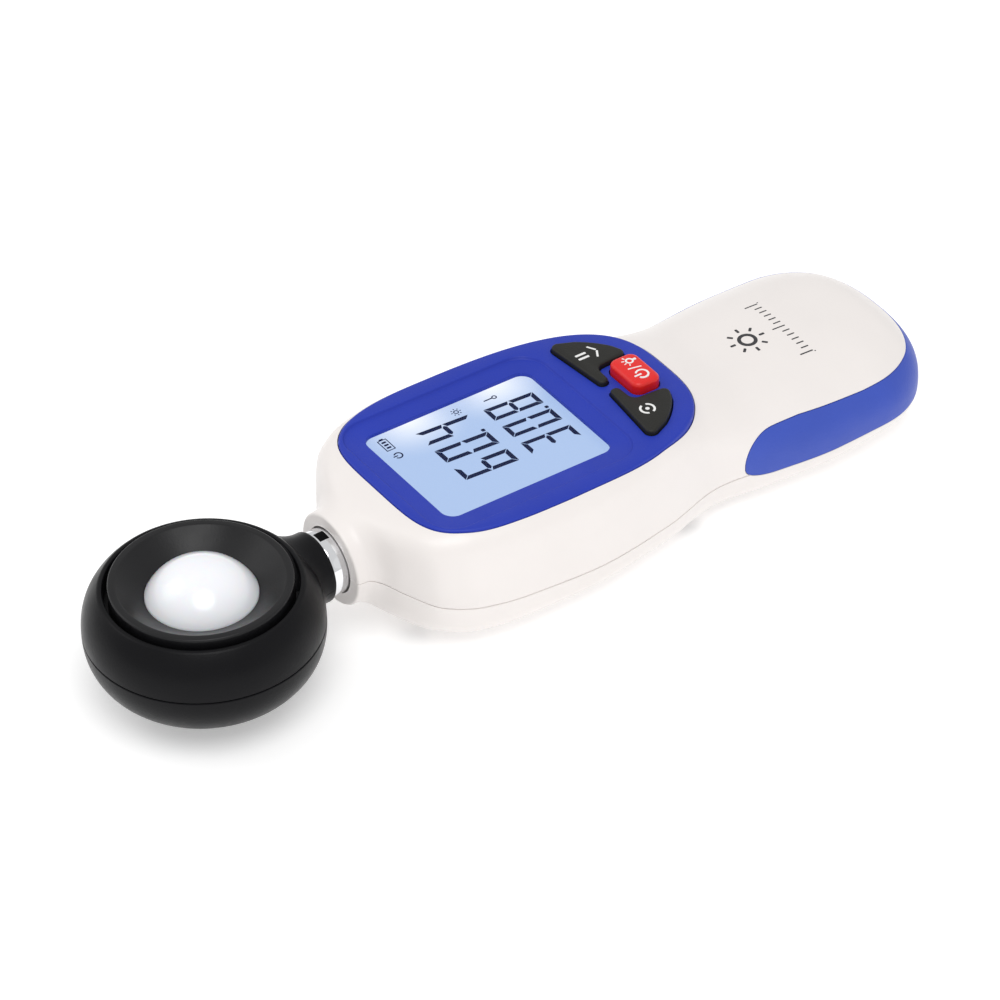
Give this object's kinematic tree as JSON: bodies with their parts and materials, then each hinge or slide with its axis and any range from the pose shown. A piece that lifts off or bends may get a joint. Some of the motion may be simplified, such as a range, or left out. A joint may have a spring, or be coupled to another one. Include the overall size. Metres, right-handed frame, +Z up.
{
  "type": "handheld light meter",
  "caption": "Handheld digital light meter: swivelling domed sensor head on a plated neck, backlit display, three keys, rubber grip band and battery bay.",
  "frame": {"origin": "bottom centre of the bounding box, on the plane the meter rests on when it lies on its back", "axes": "+Y along the body towards the sensor head, +X to the reader's right, +Z up out of the display"},
  "size_m": [0.0518, 0.1817, 0.029],
  "materials": {
    "white_shell": "satin warm white ABS",
    "blue_bezel": "fine matte blue",
    "blue_rubber": "soft blue elastomer",
    "clear_window": "clear acrylic",
    "lcd_glass": "backlit display",
    "white_plastic": "plain moulded",
    "light_guide": "diffusing acrylic",
    "led": "phosphor under resin",
    "elastomer": "striped silicone",
    "circuit_board": "green solder mask",
    "chip_black": "moulded epoxy",
    "switch_metal": "stamped cover",
    "key_red": "silicone rubber",
    "key_dark": "silicone rubber",
    "cell_sleeve": "shrink sleeve",
    "spring_steel": "nickel plated",
    "screw_steel": "zinc plated",
    "bush_plastic": "acetal",
    "chrome_collar": "bright plated",
    "mark_black": "printed",
    "lead_black": "PVC sheath",
    "head_black": "satin black ABS",
    "dish_black": "satin black ABS",
    "dome_white": "opal acrylic",
    "filter_green": "coloured glass",
    "diode_gold": "plated can"
  },
  "bodies": {
    "housing": {"front_cover": "white_shell", "rear_cover": "white_shell", "display_bezel": "blue_bezel", "display_window": "clear_window", "lcd_panel": "lcd_glass", "lcd_holder": "white_plastic", "backlight_panel": "light_guide", "backlight_leds": "led", "zebra_strip": "elastomer", "main_board": "circuit_board", "controller_chip": "chip_black", "tact_switches": "switch_metal", "temperature_sensor": "chip_black", "grip_band": "blue_rubber", "battery_cells": "cell_sleeve", "battery_springs": "spring_steel", "battery_plates": "spring_steel", "housing_screws": "screw_steel", "board_screws": "screw_steel", "neck_bush": "bush_plastic", "wave_washer": "spring_steel", "housing_lead": "lead_black", "lead_plug": "white_plastic"},
    "sensor_head": {"swivel_tube": "chrome_collar", "index_mark": "mark_black", "stop_washer": "spring_steel", "retaining_clip": "spring_steel", "sensor_lead": "lead_black", "head_upper_shell": "head_black", "head_lower_shell": "head_black", "dish_ring": "dish_black", "diffuser_dome": "dome_white", "optical_filter": "filter_green", "photodiode": "diode_gold", "sensor_board": "circuit_board", "head_screws": "screw_steel"},
    "power_key": {"power_button": "key_red"},
    "hold_key": {"hold_button": "key_dark"},
    "mode_key": {"mode_button": "key_dark"},
    "door": {"battery_door": "white_shell"}
  },
  "joints": [
    {"name": "head_swivel", "type": "hinge", "parent": "housing", "child": "sensor_head", "pos_m": [0, 0.04, 0.0162], "axis": [0, -1, 0], "range_deg": [-90, 180]},
    {"name": "power_press", "type": "slide", "parent": "housing", "child": "power_key", "axis": [0, 0.04, -0.9992], "range_m": [0, 0.0007], "stiffness_N_per_m": 900},
    {"name": "hold_press", "type": "slide", "parent": "housing", "child": "hold_key", "axis": [0, 0.04, -0.9992], "range_m": [0, 0.0007], "stiffness_N_per_m": 900},
    {"name": "mode_press", "type": "slide", "parent": "housing", "child": "mode_key", "axis": [0, 0.04, -0.9992], "range_m": [0, 0.0007], "stiffness_N_per_m": 900},
    {"name": "door_slide", "type": "slide", "parent": "housing", "child": "door", "axis": [0, -1, 0], "range_m": [0, 0.008]}
  ]
}
